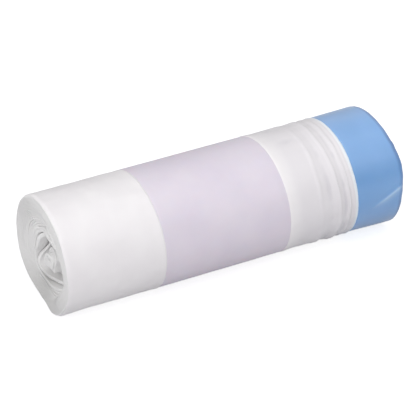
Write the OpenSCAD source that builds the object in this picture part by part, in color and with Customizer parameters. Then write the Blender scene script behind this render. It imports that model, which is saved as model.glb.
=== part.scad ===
// Coreless roll of drawstring bin bags, lying on its side.
// X runs along the roll, from the folded bag bottoms to the drawstring hems, and Z is up.
// The origin is under the middle of the roll, on the surface that it lies on.
// Each turn that is drawn stands for about ten turns of thin film.

/* [Roll] */
// Length of the roll from end to end
roll_length = 190; // [160:1:240]
// Diameter of the wound film, away from the gathers and the hems
roll_diameter = 62; // [54:0.5:90]
// Depth of the flat that the soft roll has settled into underneath
flat_depth = 0.7; // [0.4:0.1:1.2]
// Step at the loose end of the outermost turn, along the back
tail_step = 0.5; // [0.2:0.1:0.8]
// Rounding of the folded film at the rim of the plain end
plain_rim = 1.6; // [0.8:0.1:3]

/* [Turns] */
// Distance from one drawn turn to the next
turn_pitch = 2.35; // [1.9:0.05:3]
// Air between two drawn turns
turn_gap = 0.35; // [0.2:0.05:0.5]
// Least thickness of the tape between the winding and its rounded rim
outer_wall = 0.8; // [0.6:0.1:2]
// Radius of the first tight fold at the middle of the roll
core_radius = 2.5; // [2:0.1:4]
// How many turns of the collapsed middle stay tight
core_turns = 1.2; // [0.6:0.1:1.8]
// Widest hollow between the collapsed middle and the turns round it
core_hollow = 8; // [5:0.5:10]
// How far the collapsed middle has dropped towards the front
core_shift = 3; // [0:0.5:3.5]
// How much the middle is pressed out of round
core_squeeze = 0.3; // [0:0.05:0.35]

/* [Ends] */
// Number of outer turns that stand level with the end
level_turns = 2; // [1:1:3]
// How far the turns round the hollow lie back at the plain end
plain_dish = 5; // [2:0.5:8]
// How far the turns round the hollow lie back at the drawstring end
hem_dish = 3; // [2:0.5:6]
// How far the collapsed middle lies back at both ends
core_depth = 1.5; // [0.5:0.25:1.75]

/* [Gathers] */
// Number of gathers
gather_count = 3; // [2:1:5]
// Height of a gather above the film
gather_height = 0.35; // [0.1:0.05:0.8]
// How much closer the gathers lie towards the hem, where 1 is evenly spaced
gather_bunching = 1.9; // [1:0.1:2.2]
// Height of the welded bead along the hem
bead_height = 0.3; // [0.1:0.05:0.6]
// Width of the welded bead
bead_width = 1.6; // [1:0.1:3]

/* [Drawstring hem] */
// Width of the drawstring tape
tape_width = 27; // [20:1:36]
// Thickness of the tape in each drawn turn
tape_layer = 0.85; // [0.6:0.05:1.1]
// How far the tape stands proud of the film at the end of the roll
tape_flare = 0.45; // [0:0.05:1]
// Width over which the welded edge of the tape rises to the film
tape_lead = 1.2; // [0.8:0.1:2]
// Rounding of the tape at the rim of the roll
tape_rim = 2.2; // [1:0.1:3.5]
// How far the film of the hem stops short of the tape's edge
hem_inset = 1.2; // [0.5:0.1:3]

/* [Label band] */
// Width of the label band
label_width = 70.5; // [50:0.5:80]
// How far the label band sits from the middle of the roll, towards the plain end
label_offset = 6.75; // [0:0.25:10]
// Width of the smooth film between the label band and the gathers
smooth_width = 13.5; // [6:0.5:17]
// Thickness of the label band
label_thickness = 0.35; // [0.2:0.05:0.6]
// Length of the lap where the ends of the label band are glued together
label_lap = 12; // [6:1:20]
// Height that the film swells beside the tight label band
swell_height = 0.2; // [0.05:0.05:0.5]
// Width of that swelling
swell_width = 4; // [2:0.5:6]

/* [Fit] */
// Clearance between the label or the tape and the film
fit_gap = 0.05; // [0.03:0.01:0.1]

/* [Hidden] */
$fn = 96;
// Flat facets in one turn of the winding
turn_segments = 23;
// Steps in a rounded rim and in one gather
rim_steps = 3;
gather_steps = 5;
// Facets from one step in an end to the next, less than a turn so that they don't line up
step_facets = 18;
// Where the lap of the label band starts, down from level along the back
lap_from = 20;
// How far a cutting shape runs past the face that it cuts
past = 1;
// Clearance at both ends of the hem's film, where it starts and stops winding
end_play = 0.3;

roll_radius = roll_diameter / 2;
axis_height = roll_radius - flat_depth;
label_from = (roll_length - label_width) / 2 - label_offset;
label_to = label_from + label_width;
gather_from = label_to + smooth_width;
hem_from = roll_length - tape_width;
gather_width = hem_from - gather_from;
label_inside = roll_radius - label_thickness + fit_gap;
label_outside = label_inside + label_thickness;
hem_film = turn_pitch - turn_gap - tape_layer - fit_gap;
tight_radius = roll_radius + tape_flare - tape_rim - outer_wall - hem_film - turn_gap;
turn_count = floor((tight_radius - core_radius - core_hollow) / turn_pitch);
core_count = ceil(core_turns);
step_turns = step_facets / turn_segments;
step_count = ceil((turn_count - level_turns - core_count) / step_turns);

// Colours as they show on the real roll
film_white = [0.93, 0.92, 0.93];
tape_blue = [0.50, 0.68, 0.89];
label_lilac = [0.87, 0.84, 0.90];

function limit01(t) = min(1, max(0, t));
function ease(t) = let (u = limit01(t)) u * u * (3 - 2 * u);

// Places a shape that is drawn in the roll's cross-section, with its height along X
module along_roll(from) {
    translate([from - roll_length / 2, 0, axis_height]) rotate([90, 0, 90]) children();
}

// Edges of the air gap that winds out from the middle, in turns from its start
function loosened(a) = core_hollow * ease(a - core_turns);
function gap_inside(a) = core_radius + turn_pitch * a + loosened(a);
function gap_outside(a) = gap_inside(a) + turn_gap + loosened(a + 1) - loosened(a);

// A point of the winding: round at the outside, pressed flat and dropped at the middle
function wound(r, a) =
    let (
        slack = pow(1 - limit01((r - core_radius) / (tight_radius - core_radius)), 2),
        wide = 1 - core_squeeze * slack,
        tall = 1 + core_squeeze * slack
    )
    [r * wide * cos(360 * a) - core_shift * slack, -r * tall * sin(360 * a)];

// Every facet's end from one place in the winding to another, in turns
function turn_steps(from, to) = [for (k = [round(from * turn_segments) : round(to * turn_segments)])
    k / turn_segments];

// Strip that winds out between two radii, each given for every step
module wound_strip(turns, inside, outside) {
    polygon(concat(
        [for (k = [0 : len(turns) - 1]) wound(outside[k], turns[k])],
        [for (k = [len(turns) - 1 : -1 : 0]) wound(inside[k], turns[k])]
    ));
}

module air_gap() {
    turns = turn_steps(0, turn_count);
    wound_strip(turns, [for (a = turns) gap_inside(a)], [for (a = turns) gap_outside(a)]);
}

// Film of the hem, which lies on the outside of the air gap
module hem_strip() {
    turns = turn_steps(0, turn_count);
    inside = [for (a = turns) gap_outside(a)];
    wound_strip(turns, inside, [for (r = inside) r + hem_film]);
}

// Room in the tape for the air gap and the hem's film together
module hem_channel() {
    inner_play = end_play / (2 * PI * gap_outside(0));
    outer_play = end_play / (2 * PI * gap_outside(turn_count));
    turns = concat([-inner_play], turn_steps(0, turn_count), [turn_count + outer_play]);
    outside = [for (a = turns) gap_outside(a) + hem_film + fit_gap];
    wound_strip(turns, [for (a = turns) gap_inside(a)], outside);
}

// Outline of all that lies inside the turn that ends at a, along the middle of the air gap
module inside_turn(end) {
    polygon([for (a = turn_steps(end - 1, end)) wound((gap_inside(a) + gap_outside(a)) / 2, a)]);
}

// What is cut from an end so that each turn lies further back than the one round it, down to
// the hollow, where the collapsed middle stands out again
module end_steps(depth) {
    difference() {
        for (k = [1 : step_count])
            translate([0, 0, -past])
                linear_extrude(past + depth * (step_count + 1 - k) / step_count)
                    inside_turn(core_count + k * step_turns);
        translate([0, 0, core_depth]) linear_extrude(depth) inside_turn(core_count);
    }
}

// Solid turned about the roll's axis in two halves, the upper one larger by half the tail
// step, so that the two meet level along the front and leave the step along the back.
// The profile is a list of [radius beyond the roll's own, distance along the roll].
module turned_roll(profile) {
    from = profile[0][1];
    to = profile[len(profile) - 1][1];
    for (half = [0, 1]) {
        radius = roll_radius + (half == 0 ? tail_step / 2 : 0);
        shift = half == 0 ? 0 : -tail_step / 2;
        translate([0, shift, 0]) along_roll(0) rotate([0, 0, 180 * half])
            rotate_extrude(angle = 180)
                polygon(concat([[0, from]], [for (p = profile) [radius + p[0], p[1]]], [[0, to]]));
    }
}

// Round section drawn tight over the same tail step, cut level underneath
module roll_section(radius, floor_at) {
    reach = 2 * radius;
    tangent = acos(radius / (radius + tail_step));
    intersection() {
        union() {
            intersection() {
                circle(r = radius + tail_step / 2);
                translate([-reach, 0]) square([2 * reach, reach]);
            }
            intersection() {
                translate([-tail_step / 2, 0]) circle(r = radius);
                translate([-reach, -reach]) square([2 * reach, reach]);
            }
            polygon([
                [-tail_step / 2, 0],
                [radius * cos(tangent) - tail_step / 2, -radius * sin(tangent)],
                [radius + tail_step / 2, 0]
            ]);
        }
        translate([-reach, floor_at - axis_height]) square([2 * reach, 2 * reach]);
    }
}

module below_floor(from, to, height) {
    translate([-roll_length / 2, 0, 0]) rotate([90, 0, 0])
        linear_extrude(2 * roll_diameter, center = true)
            polygon([[from, -roll_diameter], [to, -roll_diameter], [to, height], [from, height]]);
}

// Outer profile of the film, from the plain rim to the bead along the hem
function rim_round(size) = [for (k = [0 : rim_steps]) let (t = 90 * k / rim_steps)
    [size * (sin(t) - 1), size * (1 - cos(t))]];
function swelling(edge, side) = [for (t = side > 0 ? [0.2, 1] : [1, 0.2])
    [swell_height * pow(cos(90 * t), 2), edge + side * swell_width * t]];
function gather(t) = gather_height * sin(360 * gather_count * pow(t, gather_bunching)) * ease(6 * t);
function gathers() = let (n = gather_steps * gather_count)
    [for (k = [0 : n]) let (t = pow(k / n, 1 / gather_bunching))
        [gather(t), gather_from + t * (gather_width - bead_width)]];
function bead() = [
    [bead_height, hem_from - bead_width * 0.5],
    [bead_height * 0.3, hem_from]
];
function film_profile() = concat(
    rim_round(plain_rim),
    swelling(label_from, -1),
    [[-label_thickness, label_from], [-label_thickness, label_to]],
    swelling(label_to, 1),
    gathers(),
    bead()
);

module film_roll() color(film_white) {
    difference() {
        turned_roll(film_profile());
        below_floor(-past, label_from, 0);
        below_floor(label_from, label_to, label_thickness + fit_gap);
        below_floor(label_to, hem_from + past, 0);
        along_roll(0) end_steps(plain_dish);
        along_roll(-past) linear_extrude(roll_length) air_gap();
    }
    difference() {
        along_roll(hem_from - past) linear_extrude(tape_width + past - hem_inset) hem_strip();
        along_roll(roll_length - hem_inset) mirror([0, 0, 1]) end_steps(hem_dish);
    }
}

// Outer profile of the tape, which flares to the rounded rim of the roll
function tape_profile() =
    let (start = hem_from + fit_gap, lead = start + tape_lead, rim = roll_length - tape_rim)
    concat(
        [[-2 * fit_gap, start]],
        [[fit_gap, lead], [fit_gap + tape_flare, rim]],
        [for (k = [1 : rim_steps]) let (t = 90 * k / rim_steps)
            [fit_gap + tape_flare + tape_rim * (cos(t) - 1), rim + tape_rim * sin(t)]]
    );

module draw_tape() color(tape_blue) difference() {
    turned_roll(tape_profile());
    below_floor(hem_from, roll_length + past, 0);
    along_roll(hem_from) linear_extrude(tape_width + past) hem_channel();
    along_roll(roll_length) mirror([0, 0, 1]) end_steps(hem_dish);
}

module label_band() color(label_lilac) {
    lap_angle = label_lap / label_outside * 180 / PI;
    along_roll(label_from + fit_gap) {
        linear_extrude(label_width - 2 * fit_gap) difference() {
            roll_section(label_outside, 0);
            roll_section(label_inside, label_thickness);
        }
        translate([-tail_step / 2, 0, 0]) rotate([0, 0, -lap_from - lap_angle])
            rotate_extrude(angle = lap_angle)
                translate([label_inside + label_thickness / 2, 0])
                    square([label_thickness * 1.5, label_width - 2 * fit_gap]);
    }
}

film_roll();
draw_tape();
label_band();
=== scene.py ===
# A coreless roll of drawstring bin bags: white film, a blue drawstring hem and a bare label band
import bpy
import numpy as np
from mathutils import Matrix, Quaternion, Vector


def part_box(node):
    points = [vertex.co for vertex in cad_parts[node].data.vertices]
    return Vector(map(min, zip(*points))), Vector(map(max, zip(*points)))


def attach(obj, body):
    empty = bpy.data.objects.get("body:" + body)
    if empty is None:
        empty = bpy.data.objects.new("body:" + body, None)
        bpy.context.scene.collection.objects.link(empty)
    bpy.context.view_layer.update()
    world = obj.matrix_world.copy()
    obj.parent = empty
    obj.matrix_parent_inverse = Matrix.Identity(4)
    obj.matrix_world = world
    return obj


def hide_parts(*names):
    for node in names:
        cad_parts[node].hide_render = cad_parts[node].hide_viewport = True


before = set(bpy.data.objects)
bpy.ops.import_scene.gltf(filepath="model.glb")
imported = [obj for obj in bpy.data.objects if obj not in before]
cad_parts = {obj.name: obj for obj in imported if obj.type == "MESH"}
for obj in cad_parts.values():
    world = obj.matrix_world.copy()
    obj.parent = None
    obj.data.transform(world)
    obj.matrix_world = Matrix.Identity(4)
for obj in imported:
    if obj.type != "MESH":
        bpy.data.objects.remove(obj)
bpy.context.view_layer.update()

mm = 0.001
turn = 2 * np.pi


# The lowest and the highest corner of a CAD node, in mm
def cornersOf(node):
    return [np.array(corner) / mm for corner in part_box(node)]


# Sizes in mm, read from the CAD parts: x runs along the roll, and angles run in turns from the back,
# down under the roll, up the front and over the top, the way that the film winds outwards
tailStep = 0.5                                    # the loose end along the back
tuckGap = 0.02                                    # between the loose end and the wrap under it
labelProud = 0.05                                 # of the label above the film
labelLow, labelHigh = cornersOf("label_band")
labelStart, labelStop = labelLow[0], labelHigh[0]
hemStart, hemEnd = [corner[0] for corner in cornersOf("draw_tape")]
plainEnd = cornersOf("film_roll")[0][0]
rollRadius = (labelHigh[1] - labelLow[1] - tailStep) / 2 - labelProud
axisHeight = labelHigh[2] - rollRadius - labelProud - tailStep / 2
flatDepth = rollRadius - axisHeight               # the flat that the soft roll lies on
print(f"roll radius {rollRadius:.2f} mm, hem at {hemStart:.2f} mm, ends {plainEnd:.1f} and {hemEnd:.1f} mm")


# A smooth step from 0 to 1: 3t^2 - 2t^3
def ease(t):
    t = np.clip(t, 0, 1)
    return t * t * (3 - 2 * t)


# A bell: exp(-(d / width)^2)
def bell(d, width):
    return np.exp(-(d / width) ** 2)


# Bells at several places added up, each given as (place, height, width)
def bells(layers, d):
    return sum(tall * bell(d - at, width) for at, tall, width in layers)


# The point at radius r and angle a, as (back, up) from the roll's axis
def around(r, a):
    return r * np.cos(turn * a), -r * np.sin(turn * a)


# Degrees below the level of the front, from the angle in turns
def belowFront(a):
    return (180 - 360 * a + 180) % 360 - 180


# A round bump on one side of the roll: exp(narrow (cos(degrees away) - 1))
def sideBump(a, at, narrow):
    return np.exp(narrow * (np.cos(np.radians(belowFront(a) - at)) - 1))


# A soft random swell from about -1 to 1: sines of unit wavelength along random directions, added
# up, over the root of their number, times 0.8
def swell(x, y, z, seed):
    count = 12
    rng = np.random.default_rng(seed)
    way = rng.normal(size=(count, 3))
    way /= np.linalg.norm(way, axis=1)[:, None]
    phase = rng.uniform(0, turn, count)
    total = 0
    for (wx, wy, wz), p in zip(way, phase):
        total = total + np.sin(turn * (x * wx + y * wy + z * wz) + p)
    return total / np.sqrt(count) * 0.8


# Swells of the surface added up, each given as (size, length along the roll, length across, seed)
def swells(layers, x, back, up):
    return sum(size * swell(x / along, back / across, up / across, seed)
               for size, along, across, seed in layers)


# Swells round the roll added up, each given as (size, waves to the radius, seed)
def ripples(layers, a, nextSeed=0):
    return sum(size * swell(0, *around(waves, a), seed + nextSeed) for size, waves, seed in layers)


# The roll's outer radius: the upper half is half a tail step larger, and the lower half is the
# same circle moved forwards by as much, so the two meet along the front and step at the back
def outerRadius(a):
    a = a % 1
    return rollRadius + np.where(a < 0.5, -tailStep / 2 * np.cos(turn * a), tailStep / 2)


# The outer radius of a wrap that starts below angle 0, tucked under its own loose end
def wrapRadius(a):
    return np.where(a < 0, outerRadius(a + 1) - tailStep - tuckGap, outerRadius(a))


press = {
    "from": 20,                                   # radius from which the flat grows outwards
    "soft": 0.12, "softInside": 2.4,              # how roundly the flat begins
    "insideFrom": 27, "insideTo": 15,             # radii between which it turns the softer one
}
slant = {"most": 1.7, "lowest": 50, "from": plainEnd, "to": labelStart}


# Presses the underside flat and slants the roll a little. The lowest a point at radius r may lie is
# -(r - flatDepth) at the outside, easing to -r inside. The slant moves a point along the roll by
# its height and depth times a share that grows from the plain end to the label.
def settle(x, back, up, reach=None):
    r = np.minimum(np.hypot(back, up) if reach is None else reach, rollRadius)
    floorAt = flatDepth * np.clip((r - press["from"]) / (rollRadius - press["from"]), 0, 1) - r
    gap = up - floorAt
    inside = ease((press["insideFrom"] - r) / (press["insideFrom"] - press["insideTo"]))
    k = press["soft"] + press["softInside"] * inside
    up = np.where(gap > k, up, np.where(gap < -k, floorAt, floorAt + (gap + k) ** 2 / (4 * k)))
    lean = np.radians(slant["lowest"])
    share = slant["most"] * ease((x - slant["from"]) / (slant["to"] - slant["from"]))
    x = x + share * (-back * np.cos(lean) - up * np.sin(lean)) / rollRadius
    return np.stack([x, back, up + axisHeight], -1) * mm


# A new object in the scene, at the origin
def newObject(name, data):
    item = bpy.data.objects.new(name, data)
    bpy.context.scene.collection.objects.link(item)
    return item


# Object with smooth faces from points and faces, and named values at its points
def makePiece(name, points, faces, values):
    mesh = bpy.data.meshes.new(name)
    mesh.from_pydata(points.reshape(-1, 3), [], faces)
    mesh.polygons.foreach_set("use_smooth", np.ones(len(faces), bool))
    for key, value in values.items():
        attribute = mesh.attributes.new(key, "FLOAT", "POINT")
        attribute.data.foreach_set("value", value.ravel().astype(np.float32))
    mesh.update()
    return newObject(name, mesh)


# A closed sheet between an outer and an inner grid: rows run round the roll, columns along it.
# The loop of columns goes out along the outer grid and back along the inner one, and each end row
# is closed by faces from a column to its partner on the other side.
def sheetPiece(name, outer, inner, values=None):
    rows, columns = outer.shape[:2]
    loop = 2 * columns
    points = np.concatenate([outer, inner[:, ::-1]], 1)
    row = np.arange(rows - 1)[:, None] * loop
    c = np.arange(loop)[None, :]
    d = (c + 1) % loop
    sides = np.stack([row + c, row + d, row + loop + d, row + loop + c], -1).reshape(-1, 4)
    c = np.arange(columns - 1)
    first = np.stack([c, loop - 1 - c, loop - 2 - c, c + 1], -1)
    last = (rows - 1) * loop + first[:, ::-1]
    named = {key: np.concatenate([value, value[:, ::-1]], 1) for key, value in (values or {}).items()}
    return makePiece(name, points, np.concatenate([sides, first, last]), named)


# Share of its thickness that a fold has at a distance s from its edge, as half of a round one:
# sqrt(1 - u^2), where u falls from 1 at the edge to 0 at the end of the rounding
def foldShare(s, size):
    u = np.clip(1 - s / size, 0, 1)
    return np.sqrt(np.clip(1 - u * u, 0.02, 1))


# Lengths are in mm and angles in degrees below the front. Swells and ripples are given as their
# functions say, and ridges as their place, height and width.
film = {
    "thickness": 0.46,                            # of the outermost wrap, just under the tail step
    "tuck": 0.05,                                 # turns of it that lie under its own loose end
    "plainRound": 0.23, "hemRound": 0.25, "tailRound": 0.35,
    "swells": [(0.09, 38, 30, 3), (0.01, 2.6, 34, 4), (0.09, 13, 11, 5), (0.05, 8, 5.5, 14)],

    # the plain end: how far its edge lies back, leans in and curls in
    "start": 0.35, "startRipples": [(0.22, 1.2, 7), (0.06, 6, 8)], "startOver": 12,
    "lean": 2.3, "leanAt": 103, "leanNarrow": 9,
    "rimCurl": 0.55, "rimLength": 1.5, "rimHollow": (2.4, 0.10, 1.0),
    "foldLine": (27, 0.22, 1.1),                  # from the plain end
    "foldWander": [(2, rollRadius / 20, 6)], "foldComes": [(1, rollRadius / 16, 10)],

    # the label draws the film in, with a lip beside it and faint folds along the front
    "labelDip": 0.41, "dipOver": 0.35, "labelWander": [(0.25, rollRadius / 40, 84)],
    "lip": 0.2, "lipAt": 0.9, "lipWidth": 2.2, "lipOver": 0.7,
    "labelFolds": [(-6.6, 0.14, 1.0), (-4.6, -0.10, 1.2)],        # from the label's start
    "labelFoldAt": 12, "labelFoldSpread": 34,

    # the gathers, from the hem
    "crests": [(20.4, 0.46, 1.2), (10.9, 0.72, 1.0), (5.0, 0.38, 0.6), (2.5, 0.18, 0.5)],
    "troughs": [(15.5, 0.42, 2.3), (7.3, 0.34, 1.2), (3.8, 0.14, 0.5)],
    "crestAt": 18, "crestSpread": 60, "crestLeast": 0.35,         # where they are highest
    "crestWander": [(0.7, 0.6, 20), (0.25, 2.5, 40)], "crestPatches": [(0.55, 0.9, 60)],
    "patchLeast": 0.1, "patchMost": 2, "strengthSwells": [(0.35, 30, rollRadius / 1.1, 11)],
    "gathersFrom": 4, "gathersOver": 8,           # from the label's stop
    "gathersEnd": 0.9,                            # before the hem

    # the weld and the edge that dives under the tape
    "bead": (-0.75, 0.3, 0.75),                   # from the hem
    "hemRipples": [(0.32, 2.2, 12), (0.16, 7, 13)], "hemRippleFrom": 6, "hemRippleOver": 5.5,
    "dive": 0.35, "diveFrom": -0.35, "diveOver": 0.8,

    # the loose end, torn along its perforations
    "tooth": 0.22, "toothStep": 2.4, "tearAt": 0.4, "tearSwells": [(0.35, 24, 1, 9)],
    "tearOver": 0.03,                             # turns over which the edge is drawn in

    # shares of the tints: bluish along the weld, a greyer painted shade from the label on, for the shade
    # among the gathers, and more of it in the troughs
    "weldTint": 1.15, "weldTintWidth": 1.3,
    "thin": 0.55, "thinFrom": 0.5, "thinOver": 9,
    "thinDeep": 0.75, "deepFrom": 0.12, "deepOver": 0.3, "deepPastLabel": 3,
}


# Height of the gathers above the film at x and angle a: crests 1 / (1 + (d / width)^2) and bell
# shaped troughs, which wander by a swell and are highest low down at the front
def gatherHeight(x, a):
    least = film["crestLeast"]
    strength = least + (1 - least) * bell(belowFront(a) - film["crestAt"], film["crestSpread"])
    strength = strength * (1 + swells(film["strengthSwells"], x, *around(rollRadius, a)))
    height = -bells(film["troughs"], hemStart - x)
    for i, (fromHem, tall, width) in enumerate(film["crests"]):
        d = (hemStart - fromHem - x + ripples(film["crestWander"], a, i)) / width
        patch = 1 + ripples(film["crestPatches"], a, i)
        height = height + tall * np.clip(patch, film["patchLeast"], film["patchMost"]) / (1 + d * d)
    return height * strength * ease((hemStart - x) / film["gathersEnd"])


# How far the plain end leans in, most low down at the back
def plainLean(a):
    return film["lean"] * sideBump(a, film["leanAt"], film["leanNarrow"])


# Height of the outer wrap above the plain cylinder: slight swells, a fold line that comes and goes
# near the plain end, faint folds beside the label along the front, the dip under the label with a
# lip on either side of it, the gathers, and the welded bead along the hem
def filmHeight(x, a):
    height = swells(film["swells"], x, *around(rollRadius, a))
    at, tall, width = film["foldLine"]
    fromFold = x - plainEnd - at - ripples(film["foldWander"], a)
    height = height + tall * bell(fromFold, width) * np.clip(ripples(film["foldComes"], a), 0, 1)
    nearFront = bell(belowFront(a) - film["labelFoldAt"], film["labelFoldSpread"])
    height = height + bells(film["labelFolds"], x - labelStart) * nearFront
    moved = ripples(film["labelWander"], a)
    over = film["dipOver"]
    inside = ease((x - labelStart - moved) / over) * ease((labelStop + moved - x) / over)
    height = height * (1 - inside) - film["labelDip"] * inside
    for d in (labelStart + moved - x, x - labelStop - moved):
        lip = np.where(d > 0, bell(d - film["lipAt"], film["lipWidth"]), 0)
        height = height + film["lip"] * lip * ease(d / film["lipOver"])
    gathers = gatherHeight(x, a) * ease((x - labelStop - film["gathersFrom"]) / film["gathersOver"])
    return height + gathers + bells([film["bead"]], x - hemStart)


# The outermost wrap of film, wound once round from under its own loose end
def buildOuterWrap():
    a = np.linspace(-film["tuck"], 1, 340)[:, None]
    toLabel, pastLabel, toHem = np.array([labelStart, labelStop, hemStart]) - plainEnd
    labelEdge = np.array([-0.8, -0.45, -0.2, 0, 0.12, 0.25, 0.4, 0.7])
    s = np.unique(np.round(np.concatenate([
        [0, 0.02, 0.06, 0.13, 0.23, 0.4, 0.75, 1.15, 1.6, 2.1],
        np.arange(2.9, toLabel - 0.9, 1.4),
        toLabel + labelEdge,
        np.linspace(toLabel + 12, pastLabel - 12, 4),
        pastLabel - labelEdge,
        np.arange(pastLabel + 1.6, toHem - 24, 1.2),
        np.arange(toHem - 24, toHem + 0.5, 0.38),
    ]), 4))[None, :]
    length = s[0, -1]
    start = film["start"] + ripples(film["startRipples"], a) + plainLean(a)
    wave = ripples(film["hemRipples"], a)
    nearHem = ease((s - length + film["hemRippleFrom"]) / film["hemRippleOver"])
    along = plainEnd + s + start * (1 - ease(s / film["startOver"])) + wave * nearHem
    height = filmHeight(along, a)
    height = np.where(a < 0, np.minimum(height, 0), height)
    rim = film["rimCurl"] * (1 - ease(s / film["rimLength"])) - bells([film["rimHollow"]], s)
    under = film["dive"] * ease((along - hemStart - film["diveFrom"]) / film["diveOver"])
    half = film["thickness"] / 2
    middle = wrapRadius(a) + height - rim - under - half
    share = foldShare(s, film["plainRound"]) * foldShare(length - s, film["hemRound"])
    share = share * foldShare((1 - a) * turn * rollRadius, film["tailRound"])
    # the torn edge of the loose end has the small teeth of its perforations
    tooth = film["tooth"] * np.abs(((along / film["toothStep"]) % 1) * 2 - 1)
    tear = film["tearAt"] + tooth + swells(film["tearSwells"], along, 0, 0)
    angle = a - ease((a - 1) / film["tearOver"] + 1) * tear / (turn * rollRadius)
    outer = settle(along, *around(middle + half * share, angle))
    inner = settle(along, *around(middle - half * share, angle))
    weld = film["weldTint"] * bell(hemStart - along, film["weldTintWidth"])
    # painted shade: over the gathers from the label on, and more in their troughs
    thin = film["thin"] * ease((along - labelStop - film["thinFrom"]) / film["thinOver"])
    troughShadeAmount = film["thinDeep"] * np.clip((-height - film["deepFrom"]) / film["deepOver"], 0, 1)
    gathered = (along > labelStop + film["deepPastLabel"]) * (along < hemStart)
    return sheetPiece("outer_wrap", outer, inner, {
        "hemTint": np.clip(weld + (along > hemStart), 0, 1),
        "thinFilm": np.clip(thin + troughShadeAmount * gathered, 0, 1),
    })


# The winding of film and tape, from its middle outwards. Radii and lengths are in mm.
winding = {
    "first": -1.95, "turns": 26.95,               # where it starts and stops
    "firstRadius": 2.2, "innerPitch": 1.04,
    "looseTurn": 3.2, "looseTurns": 3.4, "hollow": 6.8,           # the gap round the first turns
    "underWrap": 0.36,                            # from the last turn's middle to the outer wrap
    # share of the way to its neighbour that a turn fills, at its edge and further in
    "fill": 0.96, "fillInside": 0.99, "fillFrom": 1.2, "fillOver": 5,
    "foldHalf": 0.9, "foldShareOfRadius": 0.9,    # the most that half a fold takes
    # how the middle has collapsed: to the front, down, and narrower and taller by a share
    "tightRadius": 27.0, "shift": 3.6, "drop": 5.0, "squeeze": 0.1,
    # how it is crumpled: inside a radius, less where it is tight, and less along the roll
    "crumpleRadius": 29.5, "crumpleOver": 12, "crumpleTight": 0.35, "crumpleLength": 40,
    "crumpleWave": (26, 15), "fine": 0.16, "fineWave": (9, 6),    # lengths along and across
    "leastSteps": 40,                             # rows of points in a turn
}
outermost = rollRadius - tailStep / 2 - film["thickness"] - winding["underWrap"]
climb = outermost - winding["firstRadius"] - winding["hollow"]
winding["bend"] = (climb - winding["innerPitch"] * winding["turns"]) / winding["turns"] ** 2


# Radius of the winding after n turns: a first fold, a pitch that tightens outwards, and the
# hollow, which opens over a few loose turns round the collapsed middle
def windRadius(n):
    opened = winding["hollow"] * ease((n - winding["looseTurn"]) / winding["looseTurns"])
    return winding["firstRadius"] + winding["innerPitch"] * n + winding["bend"] * n * n + opened


# Half of the thickness of a turn towards its neighbour one turn away on that side: near the film's
# edge no more than a thick fold, and further in all but the whole of the way
def windHalf(n, side, s):
    way = np.abs(windRadius(n + side) - windRadius(n)) / 2
    swollen = ease((s - winding["fillFrom"]) / winding["fillOver"])
    fill = winding["fill"] + (winding["fillInside"] - winding["fill"]) * swollen
    half = np.minimum(way * fill, winding["foldHalf"] + way * swollen)
    return half if side > 0 else np.minimum(half, windRadius(n) * winding["foldShareOfRadius"])


# A point of the winding as (back, up), and how slack it is there: round at the outside, and
# pressed narrow, stretched tall and dropped to the front at the middle
def collapsedPoint(r, a):
    t = np.clip((r - winding["firstRadius"]) / (winding["tightRadius"] - winding["firstRadius"]), 0, 1)
    slack = (1 - t * t) ** 2
    back, up = around(r, a)
    back = back * (1 - winding["squeeze"] * slack) - winding["shift"] * slack
    up = up * (1 + winding["squeeze"] * slack) - winding["drop"] * slack
    return back, up, slack


# The same point crumpled by a swell that is greatest at the slack middle
def woundPoint(x, r, a, crumple):
    back, up, slack = collapsedPoint(r, a)
    tight = winding["crumpleTight"]
    size = crumple * ease((winding["crumpleRadius"] - r) / winding["crumpleOver"])
    size = size * (tight + (1 - tight) * slack)
    along, across = winding["crumpleWave"]
    push = size * swell(x / along, back / across, up / across, 31)
    lift = size * swell(x / along, back / across, up / across, 32)
    along, across = winding["fineWave"]
    fine = winding["fine"] * size * swell(x / along, back / across, up / across, 33)
    return back + push + fine, up + lift - fine


# Places in turns at which the winding has a row of points: one step apart along the film, but
# closer where a turn would have too few
def windSteps(start, stop, step):
    n = np.linspace(start, stop, 6000)
    ahead = np.maximum(turn * windRadius(n[:-1]), winding["leastSteps"] * step) * np.diff(n)
    travelled = np.concatenate([[0], np.cumsum(ahead)])
    return np.interp(np.linspace(0, travelled[-1], int(travelled[-1] / step)), travelled, n)[:, None]


# The face that the edges of the turns make at an end of the roll. Lengths and radii are in mm.
endFace = {
    "dishFrom": 27.5, "dishTo": 15.5,
    "pitFront": 6.0, "pitDown": 2.0, "pitRadius": 15.5, "pitSoft": 4.5,
    "pitWander": (1.8, 22, 91),                   # size, length, seed
    "coreDepth": 2.0, "coreTurn": 4.2, "coreOver": 0.8,           # of the collapsed middle
    "broad": 0.5, "broadSwell": (0.55, 24),       # size, length
    "own": 0.14, "ownLoose": 0.7, "ownWaves": (0.9, 0.31),        # of each turn by itself
    "looseRadius": 12, "looseWidth": 7,
    "ragged": 0.3, "raggedInside": 1.1, "raggedRadius": 29, "raggedOver": 11,
}


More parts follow.
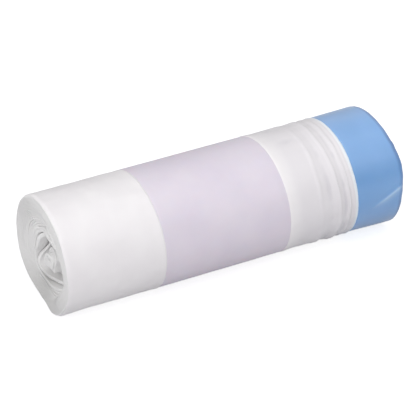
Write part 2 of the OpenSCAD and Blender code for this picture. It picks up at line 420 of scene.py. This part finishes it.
# How far back the film's edge lies at radius r after n turns: level outside, dished towards the
# middle with a pit of the given depth at its front, and standing out again at the collapsed
# middle. Broad swells and each turn's own ones leave the edges uneven, most where turns are loose.
def edgeDepth(n, r, dish, pit, seed):
    depth = dish * ease((endFace["dishFrom"] - r) / (endFace["dishFrom"] - endFace["dishTo"]))
    back, up = collapsedPoint(r, n)[:2]
    size, across, pitSeed = endFace["pitWander"]
    fromPit = np.hypot(back + endFace["pitFront"], up + endFace["pitDown"])
    fromPit = fromPit + size * swell(back / across, up / across, 0, pitSeed)
    depth = depth + pit * ease((endFace["pitRadius"] - fromPit) / endFace["pitSoft"])
    core = ease((endFace["coreTurn"] - n) / endFace["coreOver"])
    depth = depth * (1 - core) + endFace["coreDepth"] * core
    back, up = around(r, n)
    size, across = endFace["broadSwell"]
    broad = endFace["broad"] + size * swell(back / across, up / across, 0, seed)
    loose = bell(r - endFace["looseRadius"], endFace["looseWidth"])
    first, second = endFace["ownWaves"]
    own = (endFace["own"] + endFace["ownLoose"] * loose) * swell(n * first, n * second, 0, seed + 1)
    uneven = endFace["raggedInside"] * ease((endFace["raggedRadius"] - r) / endFace["raggedOver"])
    return depth + np.clip(broad + own, 0, 2) * (endFace["ragged"] + uneven)


woundFilm = {
    "step": 1.7,                                  # between rows of points
    "dish": 1.6, "pit": 5.0, "seed": 71,
    "leanFrom": 8, "leanOver": 20,                # radii from which the turns lean as the wrap does
    "pastHem": 0.8, "round": 0.3,
    "shyOfWrap": 0.12, "meetsWrap": 4,            # the last turn's gap to the wrap, and how deep
    "waver": 0.02, "waverLoose": (11.5, 0.45, 3.5),               # radius, height, width
    "waverWaves": 1.3, "waverAlong": 14, "waverLength": 20,
    "crumple": 1.3,
    # share of the painted shade on the end face: most low down at the back, outside the lump, and less along
    # the roll
    "thin": 0.05, "thinLow": 0.9, "thinAt": 100, "thinNarrow": 3.5,
    "thinRadius": 6, "thinOver": 8, "thinLength": 12,
}


# The turns of film inside the outer wrap, as one sheet wound from the middle outwards
def buildWoundFilm():
    n = windSteps(winding["first"], winding["turns"], woundFilm["step"])
    r = windRadius(n)
    lean = plainLean(n) * ease((r - woundFilm["leanFrom"]) / woundFilm["leanOver"])
    start = plainEnd + edgeDepth(n, r, woundFilm["dish"], woundFilm["pit"], woundFilm["seed"]) + lean
    stop = hemStart + woundFilm["pastHem"]
    near = np.array([0, 0.03, 0.1, 0.22, 0.4, 1.0, 2.0, 3.5, 5.5, 9, 15, 30])
    deeper = start + near[-1]
    x = np.concatenate([
        start + near,
        deeper + (stop - deeper) * np.array([0.35, 0.7]),
        start + (stop - start) * np.array([0.97, 0.999, 1]),
    ], 1)
    s = x - start
    share = foldShare(s, woundFilm["round"]) * foldShare(stop - x, woundFilm["round"])
    # each turn wavers a little by itself near its edge, by less than the air between two turns
    waver = woundFilm["waver"] + bells([woundFilm["waverLoose"]], r)
    waver = waver * swell(n * woundFilm["waverWaves"], x / woundFilm["waverAlong"], 0, 35)
    waver = waver * np.exp(-s / woundFilm["waverLength"])
    # the last turn thickens at its edge until it meets the outer wrap
    outside = windHalf(n, 1, s)
    left = outerRadius(n) - film["thickness"] - woundFilm["shyOfWrap"] - r - outside
    last = n > winding["turns"] - 1
    outside = (outside + np.clip(left, 0, 1) * last * bell(s, woundFilm["meetsWrap"])) * share
    inside = windHalf(n, -1, s) * share
    crumple = woundFilm["crumple"] * np.exp(-s / winding["crumpleLength"])
    outer = settle(x, *woundPoint(x, r + waver + outside, n, crumple), r + outside)
    inner = settle(x, *woundPoint(x, r + waver - inside, n, crumple), r - inside)
    # painted shade on the end face of the turns, heaviest low down at the back
    low = sideBump(n, woundFilm["thinAt"], woundFilm["thinNarrow"])
    low = low * ease((r - woundFilm["thinRadius"]) / woundFilm["thinOver"])
    thin = (woundFilm["thin"] + woundFilm["thinLow"] * low) * np.exp(-s / woundFilm["thinLength"])
    return sheetPiece("wound_film", outer, inner, {"thinFilm": thin})


tape = {
    "thickness": 0.46, "weldRound": 0.2, "rimRound": 0.3, "tailRound": 0.35,
    "lead": 1.2, "leadDip": 0.12,                 # beside the weld
    "flare": 0.45, "rim": 2.2,
    "rimTurn": 1.25,                              # quarter turns that the rim curls in by
    "swells": [(0.10, 30, 24, 51), (0.03, 16, 7, 52)], "swellsOver": 6,
    "sink": 0.06, "sinkOver": 8,                  # towards the end
    "ending": 0.15, "endingRipples": [(0.22, rollRadius / 26, 53), (0.08, rollRadius / 6, 54)],
    # where the rim is pushed out: degrees below the front, mm, degrees wide
    "pushes": [(-26, 1.6, 22), (54, 0.9, 14), (-48, 0.3, 3)], "pushFrom": 8,
    # from a place and degrees to a place and degrees, height, width
    "creases": [
        (95.2, -8, 75.0, 12, 0.36, 1.35),
        (95.0, 128, 84.0, 150, 0.2, 0.6),
        (95.0, -118, 86.0, -100, 0.16, 0.6),
    ],
    "creaseTrough": (-1.4, 0.45, 1.3),            # beside each crease: place, share, width
    "creaseFrom": -4, "creaseOver": 2, "creaseFade": 0.5,
    "highlightHeight": 0.42,                          # height at which the crease's painted highlight is full
    # the painted shade along the rim
    "foldBack": 1.2, "foldOver": 1.6, "fold": 0.8, "foldRipples": [(0.4, rollRadius / 20, 55)],
}


# Height of the creases above the tape: each is a ridge along a straight line on the unrolled
# surface, exp(-|d| / width) with a trough beside it, from a place at the rim to one nearer the
# hem, where it fades
def creaseHeight(x, a):
    deg = belowFront(a)
    perDegree = turn * rollRadius / 360
    height = 0
    for x0, deg0, x1, deg1, tall, width in tape["creases"]:
        dx, dy = x1 - x0, (deg1 - deg0) * perDegree
        length = np.hypot(dx, dy)
        px, py = x - x0, ((deg - deg0 + 180) % 360 - 180) * perDegree
        t = (px * dx + py * dy) / length
        d = (px * dy - py * dx) / length
        ridge = np.exp(-np.abs(d) / width) - bells([tape["creaseTrough"]], d)
        begun = ease((t - tape["creaseFrom"]) / tape["creaseOver"])
        height = height + tall * ridge * begun * ease((length - t) / (length * tape["creaseFade"]))
    return height


# The outermost wrap of the drawstring hem: it rises from the weld, flares to the end of the roll
# and curls in over the edges of the turns inside. Its profile is a straight line with a round end.
def buildHemWrap():
    a = np.linspace(-film["tuck"], 1, 440)[:, None]
    length = hemEnd - hemStart
    rim, lead = tape["rim"], tape["lead"]
    flat = np.concatenate([[0, 0.05, 0.15, 0.35, 0.7], np.arange(1.1, length - rim, 0.42)])
    bend = np.linspace(0, np.pi / 2 * tape["rimTurn"], 12)[1:]
    rise = tape["flare"] * np.clip((flat - lead) / (length - rim - lead), 0, 1)
    profileX = np.concatenate([flat, length - rim + rim * np.sin(bend)])
    profileR = np.concatenate([
        rise - tape["leadDip"] * (1 - ease(flat / lead)),
        tape["flare"] + rim * (np.cos(bend) - 1),
    ])
    normalX = np.concatenate([np.zeros_like(flat), np.sin(bend)])
    normalR = np.concatenate([np.ones_like(flat), np.cos(bend)])
    s = np.concatenate([[0], np.cumsum(np.hypot(np.diff(profileX), np.diff(profileR)))])
    x = hemStart + profileX + np.zeros_like(a)
    height = swells(tape["swells"], x, *around(rollRadius, a)) * ease((x - hemStart) / tape["swellsOver"])
    height = height + np.where(a < 0, 0, creaseHeight(x, a))
    height = height - tape["sink"] * ease((x - hemEnd) / tape["sinkOver"] + 1)
    ending = np.clip(tape["ending"] + ripples(tape["endingRipples"], a), 0, 1)
    pushed = bells(tape["pushes"], belowFront(a))
    x = x + (pushed - ending) * ease((x - hemStart - tape["pushFrom"]) / (length - tape["pushFrom"]))
    half = tape["thickness"] / 2
    share = foldShare(s, tape["weldRound"]) * foldShare(s[-1] - s, tape["rimRound"])
    offset = half * share * foldShare((1 - a) * turn * rollRadius, tape["tailRound"])
    middleR = wrapRadius(a) + profileR + height - half * normalR
    middleX = x - half * normalX
    reach = outerRadius(a)
    outer = settle(middleX + offset * normalX, *around(middleR + offset * normalR, a), reach)
    inner = settle(middleX - offset * normalX, *around(middleR - offset * normalR, a), reach)
    # painted shade along the rim, where it curls in
    folded = ease((s - length + rim + tape["foldBack"]) / tape["foldOver"])
    return sheetPiece("hem_wrap", outer, inner, {
        # a painted highlight along the creases and a painted shade along the rim
        "creaseHighlight": np.clip(creaseHeight(x, a) / tape["highlightHeight"], 0, 1),
        "rimShade": folded * np.clip(tape["fold"] + ripples(tape["foldRipples"], a), 0, 1),
    })


# The turns inside the hem: the tape fills the inner part of each turn, and the thinner film lies
# in the outer part. "from" and "to" are shares of the pitch, and the rest are in mm.
hemTurns = {
    "wound_tape": {"from": -0.40, "to": 0.16, "inset": 0.1},
    "hem_film": {"from": 0.24, "to": 0.48, "inset": 0.4},
    "step": 2.2, "dish": 3.5, "seed": 75,
    "weld": 1.0, "weldRound": 0.2, "endRound": 0.3,
    "hook": 1.6, "hookOver": 4.2,                 # room for the rim of the hem wrap
    "waver": 0.05, "waverWaves": 3.1, "waverAlong": 14, "waverLength": 10,
    "crumple": 0.9,
}


# One of the two, as a sheet on the same winding
def buildHemTurns(name):
    own = hemTurns[name]
    n = windSteps(0, winding["turns"], hemTurns["step"])
    r = windRadius(n)
    pitch = np.minimum(windRadius(n + 0.5) - windRadius(n - 0.5), 2 * winding["foldHalf"])
    over = hemTurns["hookOver"]
    hook = hemTurns["hook"] * ease((r - (rollRadius - over)) / over)
    stop = hemEnd - edgeDepth(n, r, hemTurns["dish"], 0, hemTurns["seed"]) - hook - own["inset"]
    start = np.full_like(n, hemStart + hemTurns["weld"])
    away = np.array([12.0, 7.0, 4.0, 2.4, 1.2, 0.45, 0.22, 0.1, 0.03, 0])
    x = np.concatenate([start, start + hemTurns["weldRound"], stop - away], 1)
    s = stop - x
    share = foldShare(s, hemTurns["endRound"]) * foldShare(x - start, hemTurns["weldRound"])
    middle = r + pitch * (own["from"] + own["to"]) / 2
    half = pitch * (own["to"] - own["from"]) / 2
    waver = swell(n * hemTurns["waverWaves"], x / hemTurns["waverAlong"], 0, 36)
    waver = hemTurns["waver"] * pitch * waver * np.exp(-s / hemTurns["waverLength"])
    crumple = hemTurns["crumple"] * np.exp(-s / winding["crumpleLength"])
    outer = settle(x, *woundPoint(-x, middle + waver + half * share, n, crumple), middle + half)
    inner = settle(x, *woundPoint(-x, middle + waver - half * share, n, crumple), middle - half)
    return sheetPiece(name, outer, inner)


label = {
    "thickness": 0.35, "edgeRound": 0.16, "endRound": 0.2,
    "lap": 12.0, "lapRise": 0.36,
    "lapFrom": 20.0,                              # degrees below the back
    "lapOver": 0.012,                             # turns
    "swells": [(0.06, 45, 30, 81), (0.035, 14, 12, 82), (0.01, 3.5, 40, 83)], "swellMost": 0.05,
    "edgeDip": 0.05, "dipWidth": 1.2,
}


# The label band: a taut strip that follows the roll, runs straight over the tail step and laps
# over its own start at the back
def buildLabel():
    reach = rollRadius + labelProud
    lapTurns = label["lap"] / (turn * reach)
    first = label["lapFrom"] / 360
    a = first + np.linspace(0, 1 + lapTurns, 400)[:, None]
    width = labelStop - labelStart
    edge = np.array([0, 0.03, 0.08, 0.16, 0.4, 0.8])
    s = np.concatenate([edge, np.arange(1.6, width - 1.2, 1.15), width - edge[::-1]])
    x = labelStart + s + np.zeros_like(a)
    tangent = np.arccos(reach / (reach + tailStep))
    below = turn * (a % 1)
    straight = reach / np.cos(np.clip(tangent - below, 0, tangent)) - tailStep / 2 * np.cos(below)
    r = np.where((a % 1 < 0.5) & (below < tangent), straight, outerRadius(a) + labelProud)
    lapped = label["lapRise"] * ease((a - first - 1) / label["lapOver"] + 1)
    height = np.minimum(swells(label["swells"], x, *around(rollRadius, a)), label["swellMost"])
    dip = label["edgeDip"] * (bell(s, label["dipWidth"]) + bell(width - s, label["dipWidth"]))
    half = label["thickness"] / 2
    middle = r + lapped + height - dip - half
    share = foldShare(s, label["edgeRound"]) * foldShare(width - s, label["edgeRound"])
    share = share * foldShare((first + 1 + lapTurns - a) * turn * reach, label["endRound"])
    share = share * foldShare((a - first) * turn * reach, label["endRound"])
    x = x + ripples(film["labelWander"], a)
    outer = settle(x, *around(middle + half * share, a), outerRadius(a))
    inner = settle(x, *around(middle - half * share, a), outerRadius(a) - label["thickness"])
    return sheetPiece("label_sleeve", outer, inner)


# Linear colour, with an alpha of 1, from a written sRGB value such as "F4F2F5"
def hexColour(text):
    srgb = np.array([int(text[i:i + 2], 16) for i in (0, 2, 4)]) / 255
    linear = np.where(srgb <= 0.04045, srgb / 12.92, ((srgb + 0.055) / 1.055) ** 2.4)
    return (*linear.tolist(), 1.0)


# Adds a node, sets its settings and the values of its sockets, and links its inputs
def addNode(tree, kind, settings=None, values=None, links=None):
    node = tree.nodes.new(kind)
    for key, value in (settings or {}).items():
        setattr(node, key, value)
    for key, value in (values or {}).items():
        node.inputs[key].default_value = value
    for key, socket in (links or {}).items():
        tree.links.new(socket, node.inputs[key])
    return node


def newMaterial(name):
    material = bpy.data.materials.new(name)
    material.use_nodes = True
    material.node_tree.nodes.clear()
    return material, material.node_tree


# Noise that is stretched to the given lengths in mm along and across the roll
def stretchedNoise(tree, place, along, across, values):
    scale = (1 / (along * mm), 1 / (across * mm), 1 / (across * mm))
    stretched = addNode(tree, "ShaderNodeMapping", values={"Scale": scale}, links={"Vector": place})
    noise = addNode(tree, "ShaderNodeTexNoise", values={"Scale": 1.0, **values},
                    links={"Vector": stretched.outputs["Vector"]})
    return noise.outputs["Fac"]


# Slow clouds from a darker to a lighter tone of one colour
def cloudyTone(tree, place, finish):
    along, across = finish["cloud"]
    cloud = stretchedNoise(tree, place, along, across, {"Detail": 3.0, "Roughness": finish["cloudRoughness"]})
    ramp = addNode(tree, "ShaderNodeValToRGB", links={"Fac": cloud})
    tones = hexColour(finish["shade"]), hexColour(finish["light"])
    for element, level, tone in zip(ramp.color_ramp.elements, finish["cloudLevels"], tones):
        element.position = level
        element.color = tone
    return ramp.outputs["Color"]


# Goes over from a colour to another one by a value that the mesh holds at its points
def tintedBy(tree, attribute, colour, other):
    amount = addNode(tree, "ShaderNodeAttribute", {"attribute_name": attribute})
    mixed = addNode(tree, "ShaderNodeMix", {"data_type": "RGBA"}, values={7: hexColour(other)},
                    links={"Factor": amount.outputs["Fac"], 6: colour})
    return mixed.outputs[2]


grainLevels = (0.3, 0.7)                          # of the noise, for the least and the most rough


# A plastic surface with a fine grain, which varies its roughness up and down by the same amount,
# and bumps of the given height
def plasticSurface(tree, colour, grain, height, finish):
    bump = addNode(tree, "ShaderNodeBump", links={"Height": height},
                   values={"Strength": finish["bump"], "Distance": finish["bumpHeight"] * mm})
    low, high = grainLevels
    least, most = finish["roughness"] - finish["roughBy"], finish["roughness"] + finish["roughBy"]
    rough = addNode(tree, "ShaderNodeMapRange", links={"Value": grain},
                    values={"From Min": low, "From Max": high, "To Min": least, "To Max": most})
    milk, depth = finish["milk"]
    surface = addNode(
        tree, "ShaderNodeBsdfPrincipled",
        values={**finish["surface"], "Subsurface Weight": milk, "Subsurface Scale": depth * mm},
        links={"Base Color": colour, "Roughness": rough.outputs["Result"], "Normal": bump.outputs["Normal"]},
    )
    addNode(tree, "ShaderNodeOutputMaterial", links={"Surface": surface.outputs["BSDF"]})


# Lengths are in mm. Milk is the share of light that goes into the plastic and how deep it goes, and
# the grain is drawn coarser than the real one, so that it shows.
filmFinish = {
    "hem": "EEF7FF", "cloud": (18, 30), "cloudRoughness": 0.55, "cloudLevels": (0.3, 0.7),
    "drawLine": (1.1, 30), "grain": 4, "bump": 0.35, "roughBy": 0.06,
    "surface": {"IOR": 1.51, "Subsurface Radius": (1.0, 1.0, 1.0)},
}
# the third colour of each side is its painted shade
filmSides = {
    "polyethyleneFilm": {
        "light": "F5F2F4", "shade": "F0ECEF", "thin": "DDDADF",
        "roughness": 0.35, "bumpHeight": 0.05, "milk": (0.25, 0.8),
    },
    "polyethyleneFilmInside": {
        "light": "F4F3F3", "shade": "ECEBEB", "thin": "C9C8C7",
        "roughness": 0.5, "bumpHeight": 0.2, "milk": (0.3, 1.5),
    },
}


# Blown low-density polyethylene film, folded and wound: milky white and satin, faintly cloudy from
# the layers that show through, with a grey painted shade over the gathers, in their troughs and on the
# end face, bluish white along the weld, and crinkled finely round the roll
def polyethyleneFilm(name):
    material, tree = newMaterial(name)
    finish = {**filmFinish, **filmSides[name]}
    place = addNode(tree, "ShaderNodeTexCoord").outputs["Object"]
    colour = cloudyTone(tree, place, finish)
    # painted shade, by the values that the mesh holds at its points
    colour = tintedBy(tree, "thinFilm", colour, finish["thin"])
    colour = tintedBy(tree, "hemTint", colour, finish["hem"])
    along, across = finish["drawLine"]
    lines = stretchedNoise(tree, place, along, across, {"Detail": 2.0})
    grain = stretchedNoise(tree, place, finish["grain"], finish["grain"], {"Detail": 4.0})
    both = addNode(tree, "ShaderNodeMath", {"operation": "ADD"}, links={0: lines, 1: grain})
    plasticSurface(tree, colour, grain, both.outputs[0], finish)
    return material


tapeFinish = {
    # the crease colour is a painted highlight, and the rim's colour a painted shade
    "light": "71A6E0", "shade": "679ED8", "creaseHighlight": "BBD8F4", "rimShade": "386CAC",
    "cloud": (25, 25), "cloudRoughness": 0.5, "cloudLevels": (0.32, 0.7),
    "grain": 3, "bump": 0.25, "bumpHeight": 0.05, "roughness": 0.34, "roughBy": 0.05, "milk": (0.08, 1.0),
    "surface": {
        "IOR": 1.52, "Specular IOR Level": 1.0,
        "Coat Weight": 1.0, "Coat Roughness": 0.3, "Coat IOR": 1.6,
    },
}


# High-density polyethylene tape under a skin of clear film: sky blue with a broad soft sheen, with a
# painted highlight along the creases and a painted shade of deeper blue where the rim curls in
def hemTape():
    material, tree = newMaterial("hemTape")
    place = addNode(tree, "ShaderNodeTexCoord").outputs["Object"]
    colour = cloudyTone(tree, place, tapeFinish)
    # painted highlight along the creases, then painted shade along the rim
    colour = tintedBy(tree, "creaseHighlight", colour, tapeFinish["creaseHighlight"])
    colour = tintedBy(tree, "rimShade", colour, tapeFinish["rimShade"])
    grain = stretchedNoise(tree, place, tapeFinish["grain"], tapeFinish["grain"], {"Detail": 4.0})
    plasticSurface(tree, colour, grain, grain, tapeFinish)
    return material


labelFinish = {
    "light": "E4DBE6", "shade": "DBD2E0",
    "cloud": (22, 22), "cloudRoughness": 0.5, "cloudLevels": (0.25, 0.75),
    "grain": 2.5, "bump": 0.2, "bumpHeight": 0.04, "roughness": 0.42, "roughBy": 0.05, "milk": (0.12, 1.0),
    "surface": {"IOR": 1.49, "Specular IOR Level": 0.7},
}


# Printed polypropylene label film with a satin lacquer: pale lilac ink, slightly mottled
def lilacLabel():
    material, tree = newMaterial("lilacLabel")
    place = addNode(tree, "ShaderNodeTexCoord").outputs["Object"]
    colour = cloudyTone(tree, place, labelFinish)
    grain = stretchedNoise(tree, place, labelFinish["grain"], labelFinish["grain"], {"Detail": 4.0})
    plasticSurface(tree, colour, grain, grain, labelFinish)
    return material


# Unit vector from an azimuth, counted from the front towards +X, and an elevation in degrees
def direction(azimuth, elevation):
    az, el = np.radians(azimuth), np.radians(elevation)
    return np.array((np.sin(az) * np.cos(el), -np.cos(az) * np.cos(el), np.sin(el)))


# Stands a camera or a lamp away from the middle of the roll and turns it to look there
def aimAtRoll(item, place, roll=0.0):
    away = Vector(direction(place["azimuth"], place["elevation"]))
    item.location = Vector((0, 0, axisHeight * mm)) + away * place["distance"]
    item.rotation_mode = "QUATERNION"
    item.rotation_quaternion = (-away).to_track_quat("-Z", "Y") @ Quaternion((0, 0, 1), roll)


# Camera at the photograph's angle, with the narrow view of a product shot: degrees, metres, mm of
# lens and sensor, shares of the picture, and radians of roll
camera = {"azimuth": -28.04, "elevation": 32.63, "distance": 1.3015, "lens": 218.9, "sensor": 36,
          "shiftX": -0.00135, "shiftY": -0.00415, "roll": 0.0048}


def buildCamera():
    data = bpy.data.cameras.new("productCamera")
    data.lens = camera["lens"]
    data.sensor_width = camera["sensor"]
    data.shift_x = camera["shiftX"]
    data.shift_y = camera["shiftY"]
    shot = newObject("productCamera", data)
    aimAtRoll(shot, camera, camera["roll"])
    bpy.context.scene.camera = shot


softbox = {"azimuth": -28, "elevation": 85, "distance": 1.2, "size": 1.2, "watts": 2.6}


def buildSoftbox():
    data = bpy.data.lights.new("softbox", "AREA")
    data.shape = "DISK"
    data.size = softbox["size"]
    data.energy = softbox["watts"]
    aimAtRoll(newObject("softbox", data), softbox)


# Directions in degrees, lengths in metres, and strengths of light
room = {
    # the soft light, from its weakest side to its strongest
    "azimuth": -40, "elevation": 0, "behind": 0.07, "ahead": 1.465,
    # the backdrop in a gloss, and how dim it is away from its middle and near the floor
    "backdropAzimuth": 180, "backdropElevation": 53, "backdropFrom": -0.32, "backdropTo": 0.12,
    "aheadInGloss": 0.25, "dimBelow": 0.45, "dimmest": 0.45,
    # the floor, which glows to the camera, more so far from the roll
    "floorColour": "BFBFC1", "floorSize": 6.0, "floorInGloss": 0.2,
    "floorGlow": 0.76, "paleFrom": 0.3, "paleTo": 0.8,
}


# Rays that show the background itself: seen by the camera, and in a gloss or through something
def backdropRays(tree):
    rays = addNode(tree, "ShaderNodeLightPath")
    seen = addNode(tree, "ShaderNodeMath", {"operation": "MAXIMUM"},
                   links={0: rays.outputs["Is Glossy Ray"], 1: rays.outputs["Is Transmission Ray"]})
    return rays.outputs["Is Camera Ray"], seen.outputs[0]


# A world that is white to the camera and lights the roll mostly from the front. In a gloss it
# shows a white backdrop, which stands behind and reaches over the roll.
def buildWorld():
    world = bpy.data.worlds.new("studio")
    bpy.context.scene.world = world
    world.use_nodes = True
    tree = world.node_tree
    tree.nodes.clear()
    towards = addNode(tree, "ShaderNodeTexCoord").outputs["Generated"]
    front = addNode(tree, "ShaderNodeVectorMath", {"operation": "DOT_PRODUCT"}, links={0: towards},
                    values={1: direction(room["azimuth"], room["elevation"])})
    soft = addNode(tree, "ShaderNodeMapRange", links={"Value": front.outputs["Value"]}, values={
        "From Min": -1.0, "From Max": 1.0, "To Min": room["behind"], "To Max": room["ahead"],
    })
    above = addNode(tree, "ShaderNodeVectorMath", {"operation": "DOT_PRODUCT"}, links={0: towards},
                    values={1: direction(room["backdropAzimuth"], room["backdropElevation"])})
    backdrop = addNode(tree, "ShaderNodeMapRange", links={"Value": above.outputs["Value"]}, values={
        "From Min": room["backdropFrom"], "From Max": room["backdropTo"], "To Min": room["aheadInGloss"],
    })
    height = addNode(tree, "ShaderNodeSeparateXYZ", links={"Vector": towards}).outputs["Z"]
    dimmer = addNode(tree, "ShaderNodeMapRange", links={"Value": height}, values={
        "From Min": 0.0, "From Max": room["dimBelow"], "To Min": room["dimmest"],
    })
    inGloss = addNode(tree, "ShaderNodeMath", {"operation": "MULTIPLY"},
                      links={0: backdrop.outputs["Result"], 1: dimmer.outputs["Result"]})
    byCamera, byGloss = backdropRays(tree)
    lighting = addNode(tree, "ShaderNodeMix", {"data_type": "FLOAT"},
                       links={0: byGloss, 2: soft.outputs["Result"], 3: inGloss.outputs[0]})
    level = addNode(tree, "ShaderNodeMix", {"data_type": "FLOAT"}, values={3: 1.0},
                    links={0: byCamera, 2: lighting.outputs[0]})
    glow = addNode(tree, "ShaderNodeBackground", values={"Color": (1, 1, 1, 1)},
                   links={"Strength": level.outputs[0]})
    addNode(tree, "ShaderNodeOutputWorld", links={"Surface": glow.outputs["Background"]})


# Matt white paper that takes the roll's shadow. It glows to the camera, so that it looks white,
# and a little in a gloss.
def paperSweep():
    material, tree = newMaterial("paperSweep")
    paper = addNode(tree, "ShaderNodeBsdfDiffuse", values={"Color": hexColour(room["floorColour"])})
    place = addNode(tree, "ShaderNodeTexCoord").outputs["Object"]
    away = addNode(tree, "ShaderNodeVectorMath", {"operation": "LENGTH"}, links={0: place})
    paler = addNode(tree, "ShaderNodeMapRange", links={"Value": away.outputs["Value"]}, values={
        "From Min": room["paleFrom"], "From Max": room["paleTo"], "To Min": room["floorGlow"],
    })
    byCamera, byGloss = backdropRays(tree)
    inGloss = addNode(tree, "ShaderNodeMath", {"operation": "MULTIPLY"},
                      values={1: room["floorInGloss"]}, links={0: byGloss})
    level = addNode(tree, "ShaderNodeMix", {"data_type": "FLOAT"},
                    links={0: byCamera, 2: inGloss.outputs[0], 3: paler.outputs["Result"]})
    lit = addNode(tree, "ShaderNodeEmission", values={"Color": (1, 1, 1, 1)},
                  links={"Strength": level.outputs[0]})
    both = addNode(tree, "ShaderNodeAddShader", links={0: paper.outputs[0], 1: lit.outputs[0]})
    addNode(tree, "ShaderNodeOutputMaterial", links={"Surface": both.outputs[0]})
    return material


def buildFloor():
    reach = room["floorSize"] / 2
    mesh = bpy.data.meshes.new("floor")
    corners = [(-reach, -reach, 0), (reach, -reach, 0), (reach, reach, 0), (-reach, reach, 0)]
    mesh.from_pydata(corners, [], [(0, 1, 2, 3)])
    mesh.materials.append(paperSweep())
    newObject("floor", mesh)


buildCamera()
buildSoftbox()
buildWorld()
buildFloor()
print("camera, softbox, world and floor")

filmOutside = polyethyleneFilm("polyethyleneFilm")
filmInside = polyethyleneFilm("polyethyleneFilmInside")
blueTape = hemTape()
lilacBand = lilacLabel()


# Gives a visible piece its material and its body, and hides the CAD node that it replaces
def dress(piece, material, node):
    piece.data.materials.append(material)
    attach(piece, "root")
    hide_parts(node)
    print(piece.name, "triangles", sum(len(p.vertices) - 2 for p in piece.data.polygons))


dress(buildOuterWrap(), filmOutside, "film_roll")
dress(buildWoundFilm(), filmInside, "film_roll")
print("film")

dress(buildHemWrap(), blueTape, "draw_tape")
dress(buildHemTurns("wound_tape"), blueTape, "draw_tape")
dress(buildHemTurns("hem_film"), filmInside, "film_roll")
print("drawstring hem")

dress(buildLabel(), lilacBand, "label_band")
print("label")

bpy.context.scene.view_settings.view_transform = "Standard"
